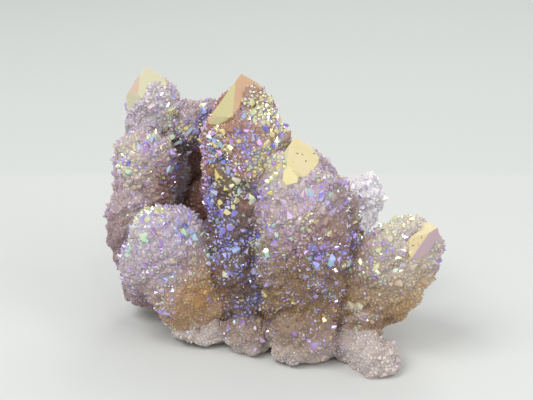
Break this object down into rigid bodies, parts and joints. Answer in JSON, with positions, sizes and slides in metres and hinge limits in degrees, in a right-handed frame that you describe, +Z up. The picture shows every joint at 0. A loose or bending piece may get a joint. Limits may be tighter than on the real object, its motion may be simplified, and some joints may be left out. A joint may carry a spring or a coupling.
{
  "type": "aura spirit quartz cluster",
  "caption": "Cluster of stout quartz points under a crust of small druse crystals, grown together on a low matrix, with a rainbow aura coating. It rests on a flat base.",
  "frame": {"origin": "centre of the footprint in plan, on the flat cut base", "axes": "+Z up out of the base, +X along the cluster's width towards the point that leans out, +Y towards its back"},
  "size_m": [0.0936, 0.0708, 0.0725],
  "materials": {
    "aura_quartz": "faceted, glossy, with a thin rainbow coating"
  },
  "bodies": {
    "root": {"spirit_quartz_cluster": "aura_quartz"}
  },
  "joints": []
}
